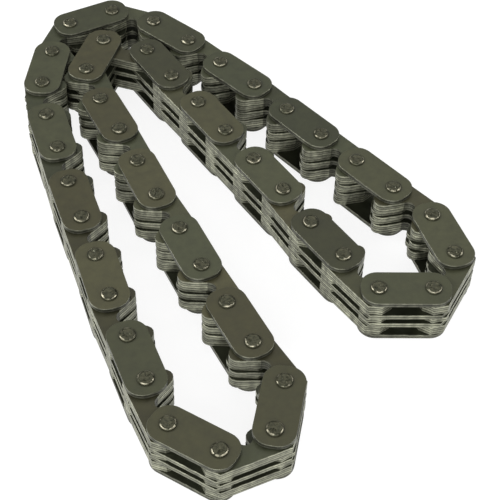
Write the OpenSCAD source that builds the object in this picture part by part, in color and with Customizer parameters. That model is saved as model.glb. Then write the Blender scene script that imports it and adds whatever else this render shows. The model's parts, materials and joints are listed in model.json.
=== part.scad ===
// Silent timing chain, an endless riveted loop of 46 pitches.
// It lies on its side, folded up the way it is packed: two long bows, with one strand tucked in.
// Plates stand in rows across the chain, and every link turns on two round riveted pins.

/* [Chain] */
// Distance between neighbouring pins
pitch = 12.7; // [12.65:0.05:13.5]
// Play between neighbouring rows of plates
row_play = 0.06; // [0.03:0.01:0.12]

/* [Pins] */
// Diameter of the pin where the plates turn on it
pin_d = 3; // [2.6:0.1:3.2]
// Play of a toothed plate around its pin, on the radius
pin_play = 0.05; // [0.03:0.01:0.08]
// Seat of the pin in the guide plate, on the radius
press_play = 0.01; // [0.005:0.005:0.02]
// Diameter of the riveted head
head_d = 3.9; // [3.6:0.1:4.2]
// Height of the riveted head above the guide plate
head_h = 0.75; // [0.5:0.05:1]
// Width of the rounded edge that riveting leaves around the head
head_edge = 0.4; // [0.2:0.05:0.45]
// Diameter of the punch mark in the middle of the head
punch_d = 1.4; // [1:0.1:1.8]
// Depth of the punch mark
punch_depth = 0.25; // [0.1:0.05:0.4]

/* [Guide plates] */
// Thickness of a guide plate
guide_t = 1.25; // [1:0.05:1.5]
// Height of a guide plate across the chain
guide_h = 9.6; // [9.2:0.1:9.7]
// How far a guide plate reaches past its pins
guide_over = 4.2; // [4:0.05:4.3]
// Radius of a guide plate's rounded corners
guide_r = 4.05; // [3.6:0.05:4.2]

/* [Toothed plates] */
// Thickness of a toothed plate
plate_t = 1.4; // [1.2:0.05:1.6]
// Height of the straight back edge above the line of the pins
back_h = 4.8; // [4.5:0.05:4.85]
// How far a toothed plate reaches past its pins
plate_over = 4.2; // [4:0.05:4.25]
// Length of the cut-off back corner along the plate
corner_x = 2.25; // [2:0.05:2.6]
// Length of the cut-off back corner across the plate
corner_y = 2.5; // [2.2:0.05:2.8]
// How far the tip of a tooth reaches below the line of the pins
tooth_depth = 6.2; // [6:0.05:6.25]
// How far the middle of a tooth lies inward of its pin
tooth_in = 0.25; // [0.1:0.05:0.3]
// Radius of the rounded tooth tip
tip_r = 2.2; // [1.9:0.05:2.25]
// Lean of a tooth's flanks, half the angle between them
flank_lean = 30; // [29:0.5:31]
// Radius of the crotch between the two teeth
crotch_r = 1.75; // [1.6:0.05:1.85]

/* [Hidden] */
// Direction of each link in degrees, pin to pin, clockwise around the loop seen from above
folded_corner = [29, -19];
outer_right_strand = [-38, -44, -42, -47, -46, -46, -46, -45];
right_bow = [-69, -117, -178, 129];
inner_right_strand = [127, 122, 126, 126, 126, 127, 125];
tucked_fold = [164, -106];
inner_left_strand = [-67, -62, -64, -64, -60, -63, -60, -61, -56];
left_bow = [-99, -154, 151, 116];
outer_left_strand = [113, 114, 110, 111, 111, 109, 110, 102];
heading = concat(folded_corner, outer_right_strand, right_bow, inner_right_strand,
                 tucked_fold, inner_left_strand, left_bow, outer_left_strand);

// The last two links close the loop: their shared pin is one pitch from both of its neighbours
headed_pins = [for (i = 0, p = [0, 0]; i <= len(heading);
                    p = p + pitch * along(heading[min(i, len(heading) - 1)]), i = i + 1) p];
pins = concat(headed_pins, [outer_corner(headed_pins[len(heading)], headed_pins[0])]);
link_count = len(pins);
guide_count = link_count / 2;

// Rows of toothed plates from the bottom up: rows of the inner links and rows of the guide links
inner_rows = [0, 1, 3, 5, 6];
guide_rows = [2, 4];
row_count = len(inner_rows) + len(guide_rows);
row_step = plate_t + row_play;
rows_bottom = head_h + guide_t + row_play;
upper_guide_z = rows_bottom + row_count * row_step;
chain_width = upper_guide_z + guide_t - head_h;

// Guide plate and toothed plate, seen from the middle of the link: teeth towards -Y
guide_end = pitch / 2 + guide_over;
plate_end = pitch / 2 + plate_over;
tooth_x = pitch / 2 - tooth_in;
tooth_y = tip_r - tooth_depth;

// The straight flanks start this far inside the round tips and crotch, so that they meet in a clean edge
blend = 0.005;
tip_foot = tip_r - blend;
crotch_foot = crotch_r - blend;
flank_off = tip_foot / cos(flank_lean);
shoulder_y = tooth_y + (plate_end - tooth_x - flank_off) / tan(flank_lean);
flank_meet_y = tooth_y + (tooth_x - flank_off) / tan(flank_lean);
crotch_y = flank_meet_y - crotch_foot / sin(flank_lean);

// The box around the whole loop is centred on the origin
loop_centre = [reach([1, 0]) - reach([-1, 0]), reach([0, 1]) - reach([0, -1])] / 2;

plate_grey = "#55543f";
tooth_grey = "#5f5f50";
rivet_grey = "#7b7a70";
$fn = 48;

closing_nodes = ["closing_link_lower_plate", "closing_link_upper_plate",
                 "closing_link_toothed_plates", "closing_link_pins"];

function along(angle) = [cos(angle), sin(angle)];
function across(v) = [-v.y, v.x];
function outer_corner(a, b) =
    (a + b) / 2 + sqrt(pow(pitch, 2) - pow(norm(b - a) / 2, 2)) * across(b - a) / norm(b - a);
function two_digits(n) = n < 10 ? str("0", n) : str(n);
function guide_name(n) = str("guide_link_", two_digits(n));
function inner_name(n) = str("inner_link_", two_digits(n));

// Link i runs from pin i to the next one; even links are guide links, odd links are inner links
function link_start(i) = pins[i];
function link_stop(i) = pins[(i + 1) % link_count];
function link_run(i) = (link_stop(i) - link_start(i)) / pitch;
function link_middle(i) = (link_start(i) + link_stop(i)) / 2;

// How far the loop reaches in direction d, over its rounded guide plates and toothed plates
function guide_reach(i, d) =
    link_middle(i) * d + guide_r
    + (guide_end - guide_r) * abs(link_run(i) * d)
    + (guide_h / 2 - guide_r) * abs(across(link_run(i)) * d);
function plate_reach(i, d) =
    link_middle(i) * d
    + max([for (side = [-1, 1], corner = plate_corners(side))
           (corner.x * link_run(i) + corner.y * across(link_run(i))) * d + corner.z]);
function plate_corners(side) = [
    [side * (plate_end - corner_x), back_h, 0],
    [side * plate_end, back_h - corner_y, 0],
    [side * plate_end, shoulder_y, 0],
    [side * tooth_x, tooth_y, tip_r]];
function reach(d) =
    max([for (i = [0 : link_count - 1]) i % 2 == 0 ? max(guide_reach(i, d), plate_reach(i, d))
                                                   : plate_reach(i, d)]);

module at_link(i) {
    middle = link_middle(i) - loop_centre;
    run = link_run(i);
    translate([middle.x, middle.y, 0])
        rotate(atan2(run.y, run.x))
            children();
}

module at_both_pins() {
    for (side = [-1, 1])
        translate([side * pitch / 2, 0])
            children();
}

// Long plate with round corners, pressed onto the two pins of its link
module guide_outline() {
    for (side_x = [-1, 1], side_y = [-1, 1])
        translate([side_x * (guide_end - guide_r), side_y * (guide_h / 2 - guide_r)])
            circle(guide_r);
    square([2 * guide_end, guide_h - 2 * guide_r], center = true);
    square([2 * (guide_end - guide_r), guide_h], center = true);
}

module guide_plate(z) {
    color(plate_grey)
        translate([0, 0, z])
            linear_extrude(guide_t)
                difference() {
                    guide_outline();
                    at_both_pins() circle(d = pin_d + 2 * press_play);
                }
}

// Half of the outline from the middle of the crotch to the middle of the back
function half_outline() = [
    [crotch_foot * cos(flank_lean), crotch_y + crotch_foot * sin(flank_lean)],
    [tooth_x - tip_foot * cos(flank_lean), tooth_y - tip_foot * sin(flank_lean)],
    [tooth_x + tip_foot * cos(flank_lean), tooth_y - tip_foot * sin(flank_lean)],
    [plate_end, shoulder_y],
    [plate_end, back_h - corner_y],
    [plate_end - corner_x, back_h]];
function other_half(points) = [for (i = [len(points) - 1 : -1 : 0]) [-points[i].x, points[i].y]];

// Two teeth under the pins with round tips, a round crotch between them, and the back corners cut off
module toothed_outline() {
    difference() {
        union() {
            polygon(concat(half_outline(), other_half(half_outline())));
            for (side = [-1, 1])
                translate([side * tooth_x, tooth_y])
                    circle(tip_r);
        }
        translate([0, crotch_y])
            circle(crotch_r);
    }
}

module toothed_plate(row) {
    color(tooth_grey)
        translate([0, 0, rows_bottom + row * row_step])
            linear_extrude(plate_t)
                difference() {
                    toothed_outline();
                    at_both_pins() circle(d = pin_d + 2 * pin_play);
                }
}

// Round pin, its ends riveted over into flat heads with a punch mark in the middle
module pin() {
    shank_z = chain_width / 2;
    head_z = shank_z + press_play;
    top_z = shank_z + head_h;
    color(rivet_grey)
        translate([0, 0, head_h + shank_z])
            rotate_extrude()
                polygon([
                    [0, punch_depth - top_z],
                    [punch_d / 4, punch_depth - top_z],
                    [punch_d / 2, -top_z],
                    [head_d / 2 - head_edge, -top_z],
                    [head_d / 2, head_edge - top_z],
                    [head_d / 2, -head_z],
                    [pin_d / 2, -head_z],
                    [pin_d / 2, head_z],
                    [head_d / 2, head_z],
                    [head_d / 2, top_z - head_edge],
                    [head_d / 2 - head_edge, top_z],
                    [punch_d / 2, top_z],
                    [punch_d / 4, top_z - punch_depth],
                    [0, top_z - punch_depth]]);
}

module link_pins() {
    at_both_pins() pin();
}

module lower_plate() {
    guide_plate(head_h);
}

module upper_plate() {
    guide_plate(upper_guide_z);
}

module toothed_plates(rows) {
    for (row = rows)
        toothed_plate(row);
}

// The riveted link that closes the loop, taken apart into its pieces
module closing_link_lower_plate() {
    at_link(0) lower_plate();
}

module closing_link_upper_plate() {
    at_link(0) upper_plate();
}

module closing_link_toothed_plates() {
    at_link(0) toothed_plates(guide_rows);
}

module closing_link_pins() {
    at_link(0) link_pins();
}

module guide_link(n) {
    at_link(2 * n - 2) {
        lower_plate();
        upper_plate();
        toothed_plates(guide_rows);
        link_pins();
    }
}

module inner_link(n) {
    at_link(2 * n - 1)
        toothed_plates(inner_rows);
}

closing_link_lower_plate();
closing_link_upper_plate();
closing_link_toothed_plates();
closing_link_pins();
for (n = [2 : guide_count])
    guide_link(n);
for (n = [1 : guide_count])
    inner_link(n);
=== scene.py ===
import json
import math
import random

import bpy
from mathutils import Matrix, Vector


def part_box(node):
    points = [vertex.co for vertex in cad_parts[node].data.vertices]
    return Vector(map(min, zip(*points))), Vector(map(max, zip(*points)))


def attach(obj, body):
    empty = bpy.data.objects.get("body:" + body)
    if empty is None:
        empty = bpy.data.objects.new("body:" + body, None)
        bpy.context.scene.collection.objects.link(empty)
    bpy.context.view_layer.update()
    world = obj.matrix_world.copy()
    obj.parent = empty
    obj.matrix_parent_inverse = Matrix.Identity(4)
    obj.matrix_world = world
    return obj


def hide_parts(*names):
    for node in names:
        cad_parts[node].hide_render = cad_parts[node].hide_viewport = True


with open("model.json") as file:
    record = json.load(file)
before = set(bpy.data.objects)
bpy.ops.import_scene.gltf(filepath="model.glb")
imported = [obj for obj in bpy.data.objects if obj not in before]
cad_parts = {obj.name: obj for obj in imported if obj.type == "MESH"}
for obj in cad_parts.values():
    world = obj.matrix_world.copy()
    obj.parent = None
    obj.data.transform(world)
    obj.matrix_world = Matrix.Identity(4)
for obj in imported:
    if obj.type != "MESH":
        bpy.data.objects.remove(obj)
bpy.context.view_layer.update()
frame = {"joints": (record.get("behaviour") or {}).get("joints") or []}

# The loop of pins
# A silent timing chain turns on round pins, one pitch apart all round its loop.
# Every plate is placed between two neighbouring pins, where the frame has them.
mm = 0.001
pin_at = {int(joint["name"][-2:]): Vector(joint["pos_m"]) for joint in frame["joints"]}
# Pin 0 has no joint, because the loop is opened there. It is the other pin of the closing link.
low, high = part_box("closing_link_pins")
pin_at[0] = low + high - pin_at[1]
pitch = (pin_at[2] - pin_at[1]).length
chain_top = high.z


# Steel of the plates
# The plates are punched from cold-rolled strip, then blackened and oiled. Blackening leaves an
# even, dark olive film with a dull shine, a little browner from plate to plate.
def linear(code):
    parts = [int(code[i:i + 2], 16) / 255 for i in (1, 3, 5)]
    return [p / 12.92 if p <= 0.04045 else ((p + 0.055) / 1.055) ** 2.4 for p in parts] + [1.0]


# An input is named by its label, or by its number after an n
def add_node(tree, kind, settings=None, **inputs):
    node = tree.nodes.new(kind)
    for name, value in (settings or {}).items():
        setattr(node, name, value)
    for name, value in inputs.items():
        numbered = name[0] == "n" and name[1:].isdigit()
        socket = node.inputs[int(name[1:]) if numbered else name.replace("_", " ")]
        if isinstance(value, bpy.types.NodeSocket):
            tree.links.new(value, socket)
        else:
            socket.default_value = value
    return node


# Scale of a pattern whose grains have these sizes in millimetres
def grains_of(*sizes):
    scales = [1 / (size * mm) for size in sizes]
    return scales if len(scales) > 1 else scales[0]


def new_steel(name):
    material = bpy.data.materials.new(name)
    material.use_nodes = True
    tree = material.node_tree
    shader = tree.nodes["Principled BSDF"]
    place = tree.nodes.new("ShaderNodeTexCoord").outputs["Object"]
    return material, tree, shader, place


blackened, tree, shader, place = new_steel("blackened cold-rolled steel")
# A plate comes out of the bath darker or browner than the next, and carries its own share of both
browning = add_node(tree, "ShaderNodeAttribute", {"attribute_name": "browning"})
paleness_and_shade = add_node(tree, "ShaderNodeAttribute", {"attribute_name": "paleness_and_shade"})
olive_or_brown = add_node(tree, "ShaderNodeMix", {"data_type": "RGBA"},
                          n0=browning.outputs["Fac"], n6=linear("#3C3F2F"), n7=linear("#42402D"))
# Faces hidden between the rows have no paleness, which paints them in shade, see copy_at
plate_tone = add_node(tree, "ShaderNodeMapRange", Value=paleness_and_shade.outputs["Fac"],
                      To_Min=0.55, To_Max=1.42)
# Blotches of oil, 2 to 3 mm across, are darker and glossier
oil = add_node(tree, "ShaderNodeTexNoise", Vector=place,
               Scale=grains_of(2.4), Detail=4.0, Roughness=0.6)
oil_tone = add_node(tree, "ShaderNodeMapRange", Value=oil.outputs["Fac"],
                    From_Min=0.3, From_Max=0.7, To_Min=0.8, To_Max=1.2)
oil_rough = add_node(tree, "ShaderNodeMapRange", Value=oil.outputs["Fac"],
                     From_Min=0.3, From_Max=0.7, To_Min=0.42, To_Max=0.55)
tree.links.new(oil_rough.outputs[0], shader.inputs["Roughness"])
# Painted shade: the plate is darkened in a ring around each riveted head, where the head's shadow
# falls
head_radius = 1.95 * mm
head_shade_width = 0.4 * mm
on_plate = add_node(tree, "ShaderNodeAttribute", {"attribute_name": "on_plate"})
either_half = add_node(tree, "ShaderNodeVectorMath", {"operation": "ABSOLUTE"},
                       n0=on_plate.outputs["Vector"])
from_pin = add_node(tree, "ShaderNodeVectorMath", {"operation": "DISTANCE"},
                    n0=either_half.outputs[0], n1=(pitch / 2, 0, 0))
head_shade_ring = add_node(tree, "ShaderNodeMapRange", Value=from_pin.outputs["Value"],
                     From_Min=head_radius, From_Max=head_radius + head_shade_width,
                     To_Min=0.7, To_Max=1.0)
tone = add_node(tree, "ShaderNodeMath", {"operation": "MULTIPLY"},
                n0=oil_tone.outputs[0], n1=plate_tone.outputs[0])
tone = add_node(tree, "ShaderNodeMath", {"operation": "MULTIPLY"},
                n0=tone.outputs[0], n1=head_shade_ring.outputs[0])
face_colour = add_node(tree, "ShaderNodeMix", {"data_type": "RGBA", "blend_type": "MULTIPLY"},
                       n0=1.0, n6=olive_or_brown.outputs[2], n7=tone.outputs[0])
tree.links.new(face_colour.outputs[2], shader.inputs["Base Color"])
# Rolling grain, drawn 0.15 mm wide so that it just shows
grain_place = add_node(tree, "ShaderNodeMapping", Vector=place,
                       Rotation=(0, 0, 0.9), Scale=grains_of(0.65, 0.15, 0.65))
grain = add_node(tree, "ShaderNodeTexNoise", Vector=grain_place.outputs[0],
                 Scale=1.0, Detail=3.0, Roughness=0.55)
face_bump = add_node(tree, "ShaderNodeBump", Height=grain.outputs["Fac"],
                     Strength=0.12, Distance=0.02 * mm)
tree.links.new(face_bump.outputs[0], shader.inputs["Normal"])
shader.inputs["Metallic"].default_value = 0.55

# Sheared edges of the plates
# The punched edges are bare steel: a burnished band where the punch entered, a dark break at half
# depth, and a torn band with fine lines. Old oil has run down over them in darker stains.
head_height = 0.75 * mm
guide_thickness = 1.25 * mm
plate_thickness = 1.4 * mm
row_play = 0.06 * mm
row_step = plate_thickness + row_play
rows_bottom = head_height + guide_thickness + row_play
# The bands repeat with every row of plates, and wander by a share of it. Whole rows added to the
# height keep it above zero, so that its fraction always counts upwards.
band_wander = 0.3
whole_rows = 10


def sheared_edge(name, shade):
    material, tree, shader, place = new_steel(name)
    # The gap between two rows is dark, and so is the break at half depth
    height = add_node(tree, "ShaderNodeSeparateXYZ", Vector=place)
    row_share = add_node(tree, "ShaderNodeMath", {"operation": "MULTIPLY_ADD"},
                         n0=height.outputs["Z"], n1=1 / row_step,
                         n2=whole_rows - band_wander / 2 - rows_bottom / row_step)
    # The bands wander up and down every 2 mm or so
    break_place = add_node(tree, "ShaderNodeMapping", Vector=place, Scale=grains_of(2.2, 2.2, 11.0))
    wander = add_node(tree, "ShaderNodeTexNoise", Vector=break_place.outputs[0],
                      Scale=1.0, Detail=1.0)
    wandered = add_node(tree, "ShaderNodeMath", {"operation": "MULTIPLY_ADD"},
                        n0=wander.outputs["Fac"], n1=band_wander, n2=row_share.outputs[0])
    in_row = add_node(tree, "ShaderNodeMath", {"operation": "FRACT"}, n0=wandered.outputs[0])
    bands = add_node(tree, "ShaderNodeValToRGB", Fac=in_row.outputs[0])
    below, above = bands.color_ramp.elements
    below.color = above.color = linear("#3C3D32")
    above.position = 0.99
    for at, code in ((0.1, "#8C8D7B"), (0.34, "#9C9D89"), (0.44, "#4C4D41"), (0.54, "#4C4D41"),
                     (0.64, "#ABAC96"), (0.88, "#A2A38E")):
        bands.color_ramp.elements.new(at).color = linear(code)
    # Torn lines, drawn 0.9 mm apart so that they show
    tear_place = add_node(tree, "ShaderNodeMapping", Vector=place, Scale=grains_of(0.9, 0.9, 0.28))
    tears = add_node(tree, "ShaderNodeTexNoise", Vector=tear_place.outputs[0],
                     Scale=1.0, Detail=4.0, Roughness=0.65)
    # Stains of oil about 2 mm wide, running down over the rows
    stain_place = add_node(tree, "ShaderNodeMapping", Vector=place, Scale=grains_of(1.9, 1.9, 3.8))
    stains = add_node(tree, "ShaderNodeTexNoise", Vector=stain_place.outputs[0],
                      Scale=1.0, Detail=4.0, Roughness=0.6)
    # One plate is a little darker than the next
    plate_place = add_node(tree, "ShaderNodeMapping", Vector=place,
                           Scale=grains_of(16.0, 16.0, 1.9))
    plates = add_node(tree, "ShaderNodeTexNoise", Vector=plate_place.outputs[0],
                      Scale=1.0, Detail=0.0)
    share = shade
    for noise, dark, pale in ((tears, 0.65, 1.2), (stains, 0.45, 1.2), (plates, 0.75, 1.1)):
        tone = add_node(tree, "ShaderNodeMapRange", Value=noise.outputs["Fac"],
                        From_Min=0.3, From_Max=0.7, To_Min=dark, To_Max=pale)
        share = add_node(tree, "ShaderNodeMath", {"operation": "MULTIPLY"},
                         n0=tone.outputs[0], n1=share).outputs[0]
    colour = add_node(tree, "ShaderNodeMix", {"data_type": "RGBA", "blend_type": "MULTIPLY"},
                      n0=1.0, n6=bands.outputs["Color"], n7=share)
    tree.links.new(colour.outputs[2], shader.inputs["Base Color"])
    bump = add_node(tree, "ShaderNodeBump", Height=tears.outputs["Fac"],
                    Strength=0.5, Distance=0.04 * mm)
    tree.links.new(bump.outputs[0], shader.inputs["Normal"])
    shader.inputs["Metallic"].default_value = 0.75
    shader.inputs["Roughness"].default_value = 0.48
    return material


guide_edge = sheared_edge("sheared edge of a guide plate, oily", 0.5)
tooth_edge = sheared_edge("sheared edge of a toothed plate, bare", 1.13)
# Painted shade: a darker copy of the toothed plates' edge steel, for the crotch between two teeth
crotch_shade_edge = sheared_edge("sheared edge between two teeth, painted shade", 0.45)


# Guide plates
# A guide plate is a flat plate with round ends and no teeth, pressed on both ends of a link's two
# pins. It is punched, so its rims are rolled over a little and its edge is bare.
def select_only(piece):
    bpy.ops.object.select_all(action="DESELECT")
    piece.select_set(True)
    bpy.context.view_layer.objects.active = piece


def pick(piece, kind, test):
    bpy.ops.object.mode_set(mode="EDIT")
    bpy.ops.mesh.select_mode(type=kind)
    bpy.ops.mesh.select_all(action="DESELECT")
    bpy.ops.object.mode_set(mode="OBJECT")
    if kind == "FACE":
        for face in piece.data.polygons:
            face.select = test(face.center, face.normal)
    else:
        points = piece.data.vertices
        for edge in piece.data.edges:
            edge.select = test(*(points[i].co for i in edge.vertices))
    bpy.ops.object.mode_set(mode="EDIT")


# Two places closer than this are one, and a face looks squarely along an axis past this share
one_place = 0.002 * mm
squarely = 0.9


def same(a, b):
    return abs(a - b) < one_place


def stands(a, b):
    return same(a.x, b.x) and same(a.y, b.y)


def add_block(name, x, y, thickness):
    bpy.ops.object.select_all(action="DESELECT")
    bpy.ops.mesh.primitive_cube_add(
        size=1, location=(sum(x) / 2, sum(y) / 2, thickness / 2),
        scale=(x[1] - x[0], y[1] - y[0], thickness))
    block = bpy.context.active_object
    block.name = name
    bpy.ops.object.transform_apply(location=True, rotation=True, scale=True)
    return block


def round_picked(width, segments):
    bpy.ops.mesh.bevel(offset=width, offset_type="OFFSET", segments=segments, affect="EDGES",
                       clamp_overlap=False)
    bpy.ops.object.mode_set(mode="OBJECT")


def apply_modifier(piece, kind, **settings):
    select_only(piece)
    modifier = piece.modifiers.new(kind.title(), kind)
    for name, value in settings.items():
        setattr(modifier, name, value)
    bpy.ops.object.modifier_apply(modifier=modifier.name)


def paint_sides(piece, steel, where):
    piece.data.materials.append(steel)
    select_only(piece)
    pick(piece, "FACE", lambda centre, normal: abs(normal.z) < squarely and where(centre))
    piece.active_material_index = len(piece.data.materials) - 1
    bpy.ops.object.material_slot_assign()
    bpy.ops.object.mode_set(mode="OBJECT")


def finish_plate(plate, thickness, rim, hole_radius, edge_steel):
    pick(plate, "EDGE", lambda a, b: any(same(a.z, z) and same(b.z, z) for z in (0, thickness)))
    round_picked(rim, segments=1)
    for side in (-1, 1):
        bpy.ops.object.select_all(action="DESELECT")
        bpy.ops.mesh.primitive_cylinder_add(vertices=16, radius=hole_radius, depth=3 * thickness,
                                            location=(side * pitch / 2, 0, thickness / 2))
        drill = bpy.context.active_object
        apply_modifier(plate, "BOOLEAN", object=drill, operation="DIFFERENCE", solver="EXACT")
        bpy.data.objects.remove(drill)
    plate.data.materials.clear()
    plate.data.materials.append(blackened)
    paint_sides(plate, edge_steel, lambda centre: True)
    select_only(plate)
    bpy.ops.object.shade_smooth_by_angle(angle=math.radians(25))


guide_reach = pitch / 2 + 4.2 * mm
guide_half = 4.8 * mm
corner_radius = 4.05 * mm
guide_plate = add_block("guide_plate", (-guide_reach, guide_reach), (-guide_half, guide_half),
                        guide_thickness)
pick(guide_plate, "EDGE", stands)
round_picked(corner_radius, segments=9)
finish_plate(guide_plate, guide_thickness, rim=0.06 * mm, hole_radius=1.53 * mm,
             edge_steel=guide_edge)

# Toothed plates
# Each is punched with two teeth that mesh with the sprocket, a straight back and cut-off back
# corners. Half a plate is cut along its flanks and mirrored, then its tips and crotch are rounded.
plate_reach = pitch / 2 + 4.2 * mm
back = 4.8 * mm
corner_x, corner_y = 2.25 * mm, 2.5 * mm
tip_radius = 2.2 * mm
tip_x = pitch / 2 - 0.25 * mm
tip_y = tip_radius - 6.2 * mm
point_y = tip_y - 2 * tip_radius
flank = math.radians(30)
crotch_radius = 1.75 * mm
toothed_plate = add_block("toothed_plate", (0, plate_reach), (point_y, back), plate_thickness)
# Outer flank, inner flank and back corner: a point on the cut, and the way out of the plate
cuts = (
    ((tip_x, point_y), (math.cos(flank), -math.sin(flank))),
    ((tip_x, point_y), (-math.cos(flank), -math.sin(flank))),
    ((plate_reach, back - corner_y), (corner_y, corner_x)),
)
for through, outwards in cuts:
    bpy.ops.object.mode_set(mode="EDIT")
    bpy.ops.mesh.select_all(action="SELECT")
    bpy.ops.mesh.bisect(plane_co=(*through, 0), plane_no=(*outwards, 0), use_fill=True,
                        clear_outer=True, threshold=0.001 * mm)
    bpy.ops.object.mode_set(mode="OBJECT")
# The open middle is where the other half joins on
pick(toothed_plate, "FACE",
     lambda centre, normal: same(centre.x, 0) and normal.x < -squarely)
bpy.ops.mesh.delete(type="FACE")
bpy.ops.object.mode_set(mode="OBJECT")
apply_modifier(toothed_plate, "MIRROR", merge_threshold=0.001 * mm)
bpy.ops.object.mode_set(mode="EDIT")
bpy.ops.mesh.select_all(action="SELECT")
bpy.ops.mesh.dissolve_limited(angle_limit=math.radians(1))
bpy.ops.object.mode_set(mode="OBJECT")
# A bevel on a 60 degree corner comes out this share of its width away from the corner
bevel_share = 0.507
pick(toothed_plate, "EDGE", lambda a, b: stands(a, b) and same(a.y, point_y))
round_picked(tip_radius / bevel_share, segments=6)
pick(toothed_plate, "EDGE", lambda a, b: stands(a, b) and same(a.x, 0) and not same(a.y, back))
round_picked(crotch_radius / bevel_share, segments=8)
finish_plate(toothed_plate, plate_thickness, rim=0.04 * mm, hole_radius=1.58 * mm,
             edge_steel=tooth_edge)
# Painted shade: the crotch and the foot of the flanks beside it take the darker edge steel, for the
# shade between two teeth
shaded_half_width, shaded_top = 1.2 * crotch_radius, 1.0 * mm
paint_sides(toothed_plate, crotch_shade_edge,
            lambda centre: abs(centre.x) < shaded_half_width and tip_y < centre.y < shaded_top)

# Riveted pins
# Each pin is a hardened round pin, put through the plates and hammered over at both ends. The
# hammer leaves a rounded rim around a flat, barely dished top, as dark and oily as the plates.
rivet_steel, tree, shader, place = new_steel("hammered pin steel")
# Marks of the hammer, 0.7 mm apart
blows = add_node(tree, "ShaderNodeTexNoise", Vector=place,
                 Scale=grains_of(0.67), Detail=3.0, Roughness=0.5)
wear = add_node(tree, "ShaderNodeMapRange", Value=blows.outputs["Fac"],
                From_Min=0.35, From_Max=0.65, To_Min=0.0, To_Max=1.0)
pin_colour = add_node(tree, "ShaderNodeMix", {"data_type": "RGBA"},
                      n0=wear.outputs[0], n6=linear("#37382B"), n7=linear("#4B4A39"))
tree.links.new(pin_colour.outputs[2], shader.inputs["Base Color"])
pin_bump = add_node(tree, "ShaderNodeBump", Height=blows.outputs["Fac"],
                    Strength=0.4, Distance=0.05 * mm)
tree.links.new(pin_bump.outputs[0], shader.inputs["Normal"])
shader.inputs["Metallic"].default_value = 0.7
shader.inputs["Roughness"].default_value = 0.4

# Handling has rubbed the black off the rims of the heads in places, about 1 mm long
rubbed_rim, tree, shader, place = new_steel("rubbed rim of a pin")
rubbing = add_node(tree, "ShaderNodeTexNoise", Vector=place,
                   Scale=grains_of(1.25), Detail=2.0, Roughness=0.5)
rubbed = add_node(tree, "ShaderNodeMapRange", Value=rubbing.outputs["Fac"],
                  From_Min=0.42, From_Max=0.66, To_Min=0.0, To_Max=1.0)
rim_colour = add_node(tree, "ShaderNodeMix", {"data_type": "RGBA"},
                      n0=rubbed.outputs[0], n6=linear("#35362A"), n7=linear("#B8B39D"))
tree.links.new(rim_colour.outputs[2], shader.inputs["Base Color"])
rim_bump = add_node(tree, "ShaderNodeBump", Height=rubbing.outputs["Fac"],
                    Strength=0.4, Distance=0.05 * mm)
tree.links.new(rim_bump.outputs[0], shader.inputs["Normal"])
shader.inputs["Metallic"].default_value = 0.85
shader.inputs["Roughness"].default_value = 0.5

shank_radius = 1.5 * mm
middle = chain_top / 2
half_shank = middle - head_height
# Each step of a head is how far it rises and how wide it is against the step before
wall = ((0.0, head_radius / shank_radius), (0.22 * mm, 1.0), (0.2 * mm, 0.95), (0.18 * mm, 0.87))
dish = ((0.08 * mm, 0.88), (-0.04 * mm, 0.8), (-0.06 * mm, 0.7))
dish_middle = ((0.02 * mm, 0.45),)
wall_dents, dish_dents = 0.12 * mm, 0.05 * mm
# The rubbed band lies at the top of the wall
band_inside, band_bottom = 1.62 * mm, 0.4 * mm
# The last blow comes from the side, and leaves a flat this far from the middle of the head's foot
blow_across, blow_down = 0.66, 0.75
flat_reach = 1.42 * mm


def raise_end(side, steps):
    for rise, ratio in steps:
        bpy.ops.mesh.extrude_region_move(TRANSFORM_OT_translate={"value": (0, 0, side * rise)})
        bpy.ops.transform.resize(value=(ratio, ratio, 1), center_override=(0, 0, middle))


def dent(depth, seed):
    bpy.ops.transform.vertex_random(offset=depth, uniform=0.7, normal=0.0, seed=seed)


def add_pin(name, seed):
    bpy.ops.object.select_all(action="DESELECT")
    bpy.ops.mesh.primitive_cylinder_add(vertices=22, radius=shank_radius, depth=2 * half_shank,
                                        location=(0, 0, middle))
    pin = bpy.context.active_object
    pin.name = name
    bpy.ops.object.transform_apply(location=True, rotation=True, scale=True)
    for side in (-1, 1):
        pick(pin, "FACE", lambda centre, normal: normal.z * side > squarely
             and (centre.z - middle) * side > 0)
        raise_end(side, wall)
        dent(wall_dents, seed)
        raise_end(side, dish)
        dent(dish_dents, seed + 1)
        raise_end(side, dish_middle)
        # The other head gets dents of its own
        seed += 7
    bpy.ops.object.mode_set(mode="OBJECT")
    pin.data.materials.append(rivet_steel)
    paint_sides(pin, rubbed_rim, lambda centre: math.hypot(centre.x, centre.y) > band_inside
                and abs(centre.z - middle) > half_shank + band_bottom)
    blow = Vector((blow_across * math.cos(seed), blow_across * math.sin(seed), blow_down))
    for vertex in pin.data.vertices:
        side = 1 if vertex.co.z > middle else -1
        in_head = Vector((vertex.co.x, vertex.co.y, side * (vertex.co.z - middle) - half_shank))
        over = in_head.dot(blow) - flat_reach
        if over > 0:
            in_head -= over * blow
            vertex.co = (in_head.x, in_head.y, middle + side * (in_head.z + half_shank))
        # No dent pushes the head past its size in the frame
        vertex.co.z = min(max(vertex.co.z, 0.0), chain_top)
        away = math.hypot(vertex.co.x, vertex.co.y)
        if away > head_radius:
            vertex.co.x *= head_radius / away
            vertex.co.y *= head_radius / away
    select_only(pin)
    bpy.ops.object.shade_smooth_by_angle(angle=math.radians(40))
    return pin


pin_kinds = [add_pin(f"pin_{number}", 11 * number) for number in (1, 2, 3, 4)]

# The links
# Two pins, two guide plates and two toothed plates make a guide link, and five toothed plates make
# an inner link. The plates turn on the pins with a little play, so no two stand exactly in line.
link_count = len(pin_at)
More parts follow.
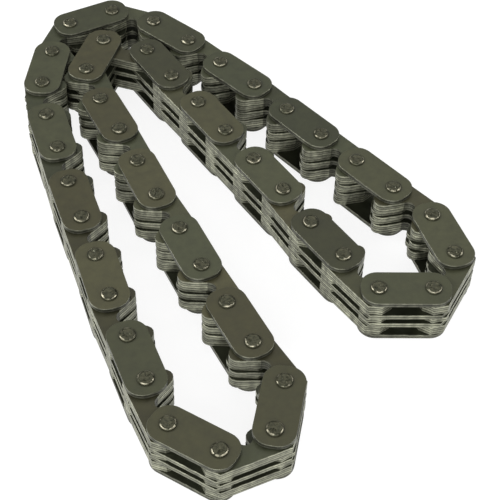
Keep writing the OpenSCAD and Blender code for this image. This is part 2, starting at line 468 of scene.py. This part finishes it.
# Rows are counted from the bottom up, and the sides of the chain are -1 below and 1 above
inner_rows = (0, 1, 3, 5, 6)
guide_rows = (2, 4)
outer_side_of = {inner_rows[0]: -1, inner_rows[-1]: 1}
guide_z = {-1: head_height, 1: chain_top - head_height - guide_thickness}
# Play of a toothed plate on its pins, in millimetres and in degrees
out_of_place, out_of_line = 0.02, 0.15
# Of the seeds tried, this one puts the paler and browner guide plates about where the photograph
# has them
play = random.Random(53284)


def link_place(link):
    start = pin_at[link]
    stop = pin_at[(link + 1) % link_count]
    centre = (start + stop) / 2
    run = stop - start
    turn = Matrix.Rotation(math.atan2(run.y, run.x), 4, "Z")
    return Matrix.Translation((centre.x, centre.y, 0)) @ turn


def link_body(link):
    kind = "guide" if link % 2 == 0 else "inner"
    return f"{kind}_link_{link // 2 + 1:02d}"


# Painted shade: the faces hidden between the rows get the darkest tone and no browning, and only
# the side that faces outwards has the plate's own tone
def copy_at(model, place, outer_side=0):
    piece = model.copy()
    piece.data = model.data.copy()
    browning, paleness_and_shade = play.random(), play.uniform(0.25, 0.95)
    new = piece.data.attributes.new
    brown, pale = (new(name, "FLOAT", "POINT").data for name in ("browning", "paleness_and_shade"))
    on_plate = new("on_plate", "FLOAT_VECTOR", "POINT").data
    for number, vertex in enumerate(piece.data.vertices):
        faces_out = outer_side * (vertex.co.z - plate_thickness / 2) > 0
        brown[number].value = browning if faces_out else 0.0
        pale[number].value = paleness_and_shade if faces_out else 0.0
        on_plate[number].vector = (vertex.co.x, vertex.co.y, 0)
    piece.data.transform(place)
    bpy.context.scene.collection.objects.link(piece)
    return piece


def guide_plates(link, sides=(-1, 1)):
    return [copy_at(guide_plate, link_place(link) @ Matrix.Translation((0, 0, guide_z[side])), side)
            for side in sides]


def toothed_plates(link, rows):
    pieces = []
    for row in rows:
        shift = Matrix.Translation((play.uniform(-out_of_place, out_of_place) * mm,
                                    play.uniform(-out_of_place, out_of_place) * mm,
                                    rows_bottom + row * row_step))
        lean = math.radians(play.uniform(-out_of_line, out_of_line))
        place = link_place(link) @ shift @ Matrix.Rotation(lean, 4, "Z")
        pieces.append(copy_at(toothed_plate, place, outer_side_of.get(row, 0)))
    return pieces


def link_pins(link):
    pieces = []
    for side in (-1, 1):
        turn = Matrix.Rotation(play.uniform(0, 2 * math.pi), 4, "Z")
        place = link_place(link) @ Matrix.Translation((side * pitch / 2, 0, 0)) @ turn
        pieces.append(copy_at(play.choice(pin_kinds), place))
    return pieces


def dress(name, pieces, link, node):
    select_only(pieces[0])
    for piece in pieces[1:]:
        piece.select_set(True)
    if len(pieces) > 1:
        bpy.ops.object.join()
    pieces[0].name = name
    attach(pieces[0], link_body(link))
    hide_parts(node)


dress("closing_link_lower_guide", guide_plates(0, [-1]), 0,
      "closing_link_lower_plate")
dress("closing_link_upper_guide", guide_plates(0, [1]), 0,
      "closing_link_upper_plate")
dress("closing_link_teeth", toothed_plates(0, guide_rows), 0,
      "closing_link_toothed_plates")
dress("closing_link_rivets", link_pins(0), 0, "closing_link_pins")
for link in range(1, link_count):
    node = link_body(link)
    if link % 2 == 0:
        dress(f"{node}_guides", guide_plates(link), link, node)
        dress(f"{node}_teeth", toothed_plates(link, guide_rows), link, node)
        dress(f"{node}_rivets", link_pins(link), link, node)
    else:
        dress(f"{node}_teeth", toothed_plates(link, inner_rows), link, node)
for model in (guide_plate, toothed_plate, *pin_kinds):
    bpy.data.objects.remove(model)

# Floor
# The chain lies on its side on a plain sheet of white paper, which runs on as the background. Seen
# directly or mirrored in the steel the sheet is white, and it still takes the chain's shadow.
white_sheet = bpy.data.materials.new("white paper sheet")
white_sheet.use_nodes = True
tree = white_sheet.node_tree
tree.nodes.clear()
paper = add_node(tree, "ShaderNodeBsdfDiffuse", Color=linear("#818181"))
path = tree.nodes.new("ShaderNodeLightPath")
straight = add_node(tree, "ShaderNodeMath", {"operation": "MAXIMUM"},
                    n0=path.outputs["Is Camera Ray"], n1=path.outputs["Is Glossy Ray"])
seen = add_node(tree, "ShaderNodeMath", {"operation": "MAXIMUM"},
                n0=straight.outputs[0], n1=path.outputs["Is Transmission Ray"])
nearly_white = 0.86
glow = add_node(tree, "ShaderNodeMath", {"operation": "MULTIPLY"},
                n0=seen.outputs[0], n1=nearly_white)
lift = add_node(tree, "ShaderNodeEmission", Color=linear("#FFFFFF"), Strength=glow.outputs[0])
sheet = add_node(tree, "ShaderNodeAddShader", n0=paper.outputs[0], n1=lift.outputs[0])
add_node(tree, "ShaderNodeOutputMaterial", Surface=sheet.outputs[0])
under_chain = 0.05 * mm
bpy.ops.object.select_all(action="DESELECT")
bpy.ops.mesh.primitive_plane_add(size=20, location=(0, 0, -under_chain))
floor = bpy.context.active_object
floor.name = "floor"
floor.data.materials.append(white_sheet)

# Light
# A white room lights the chain evenly, and a broad lamp in front lights the edges of the plates.
# Small lamps on both sides give the rivets glints, and a soft one behind makes the faces shine.
world = bpy.data.worlds.new("white room")
bpy.context.scene.world = world
world.use_nodes = True
tree = world.node_tree
tree.nodes.clear()
room = add_node(tree, "ShaderNodeBackground", Color=linear("#FFFFFF"), Strength=0.27)
add_node(tree, "ShaderNodeOutputWorld", Surface=room.outputs[0])
for name, at, size, power in (
        ("front_lamp", (-0.4, -1.7, 0.7), 2.0, 58.0),
        ("left_lamp", (-1.5, 0.1, 0.8), 0.4, 16.0),
        ("right_lamp", (1.5, 0.1, 0.8), 0.3, 8.0),
        ("back_lamp", (0.1, 1.0, 1.7), 1.6, 12.0)):
    light = bpy.data.lights.new(name, "AREA")
    light.size = size
    light.energy = power
    lamp = bpy.data.objects.new(name, light)
    lamp.location = at
    lamp.rotation_euler = (-Vector(at)).to_track_quat("-Z", "Y").to_euler()
    bpy.context.scene.collection.objects.link(lamp)

# Camera
# It looks down on the chain from in front, about 48 degrees above the floor. Its place, its turn
# and its lens were fitted to the riveted heads in the photograph.
from_chain = pitch * Vector((1.02316792, -17.97216834, 18.10256))
tilt = 0.84433367
roll = -0.03132931
picture_pixels = 500
lens_pixels = 1308.36658
middle_of_pins = sum(pin_at.values(), Vector()) / link_count
camera_at = Vector((middle_of_pins.x, middle_of_pins.y, chain_top)) + from_chain
right = Vector((1, 0, 0))
up = Vector((0, math.sin(tilt), math.cos(tilt)))
ahead = Vector((0, math.cos(tilt), -math.sin(tilt)))
camera_right = math.cos(roll) * right - math.sin(roll) * up
camera_up = math.sin(roll) * right + math.cos(roll) * up
camera_data = bpy.data.cameras.new("photo_camera")
camera_data.sensor_width = 36
camera_data.lens = camera_data.sensor_width * lens_pixels / picture_pixels
camera = bpy.data.objects.new("photo_camera", camera_data)
turned = Matrix((camera_right, camera_up, -ahead)).transposed().to_4x4()
camera.matrix_world = Matrix.Translation(camera_at) @ turned
bpy.context.scene.collection.objects.link(camera)
bpy.context.scene.camera = camera
bpy.context.scene.view_settings.view_transform = "Standard"
